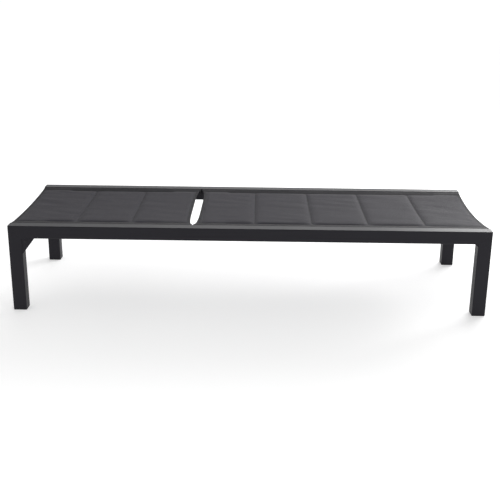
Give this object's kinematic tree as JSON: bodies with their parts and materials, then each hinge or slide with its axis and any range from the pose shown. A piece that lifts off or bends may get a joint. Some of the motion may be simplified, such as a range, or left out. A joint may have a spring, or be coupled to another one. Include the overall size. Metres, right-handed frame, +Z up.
{
  "type": "reclining sun lounger",
  "caption": "Sling sun lounger with a padded reclining back that a prop holds in notched racks, on a square tube frame with four legs.",
  "frame": {"origin": "on the floor under the middle of the lounger", "axes": "+X along the length towards the foot end, +Y across towards the left side of somebody lying face up, +Z up"},
  "size_m": [1.925, 0.64, 0.36],
  "materials": {
    "frame_coating": "satin",
    "sling_cloth": "matte",
    "welt_cord": "matte",
    "glide_plastic": "matte",
    "nylon": "satin",
    "buffer_rubber": "matte",
    "fastener_steel": "satin",
    "black_screw": "satin"
  },
  "bodies": {
    "frame": {"foot_brace_left": "frame_coating", "foot_brace_right": "frame_coating", "foot_crossbar": "frame_coating", "foot_glide_left": "glide_plastic", "foot_glide_right": "glide_plastic", "foot_leg_left": "frame_coating", "foot_leg_right": "frame_coating", "gusset_bolts": "black_screw", "head_crossbar": "frame_coating", "head_glide_left": "glide_plastic", "head_glide_right": "glide_plastic", "head_gusset_left": "frame_coating", "head_gusset_right": "frame_coating", "head_leg_left": "frame_coating", "head_leg_right": "frame_coating", "hinge_bolt_left": "fastener_steel", "hinge_bolt_right": "fastener_steel", "hinge_washer_left": "nylon", "hinge_washer_right": "nylon", "left_rail": "frame_coating", "rack_bolts": "fastener_steel", "rack_left": "frame_coating", "rack_right": "frame_coating", "rail_inserts": "fastener_steel", "rest_buffers": "buffer_rubber", "right_rail": "frame_coating", "seat_bar_foot": "frame_coating", "seat_bar_lower": "frame_coating", "seat_bar_middle": "frame_coating", "seat_bar_upper": "frame_coating", "seat_sling": "sling_cloth", "seat_tube_bolts": "fastener_steel", "seat_tube_left": "frame_coating", "seat_tube_plugs": "glide_plastic", "seat_tube_right": "frame_coating", "seat_tube_spacers": "nylon", "seat_welt_left": "welt_cord", "seat_welt_right": "welt_cord"},
    "backrest": {"back_bar_head": "frame_coating", "back_bar_lower": "frame_coating", "back_bar_middle": "frame_coating", "back_sling": "sling_cloth", "back_tube_left": "frame_coating", "back_tube_plugs": "glide_plastic", "back_tube_right": "frame_coating", "back_welt_left": "welt_cord", "back_welt_right": "welt_cord", "hinge_bush_left": "nylon", "hinge_bush_right": "nylon", "prop_bolt_left": "fastener_steel", "prop_bolt_right": "fastener_steel", "prop_washer_left": "nylon", "prop_washer_right": "nylon"},
    "prop": {"prop_arm_left": "frame_coating", "prop_arm_right": "frame_coating", "prop_rod": "frame_coating", "prop_roller_left": "nylon", "prop_roller_right": "nylon"}
  },
  "joints": [
    {"name": "backrest_hinge", "type": "hinge", "parent": "frame", "child": "backrest", "pos_m": [-0.285, 0, 0.343], "axis": [0, 1, 0], "range_deg": [0, 70]},
    {"name": "prop_pivot", "type": "hinge", "parent": "backrest", "child": "prop", "pos_m": [-0.585, 0, 0.343], "axis": [0, 1, 0], "range_deg": [-140, 0]}
  ],
  "couplings": [
    {"joint": "prop_pivot", "follows": "backrest_hinge", "ratio": -2}
  ]
}
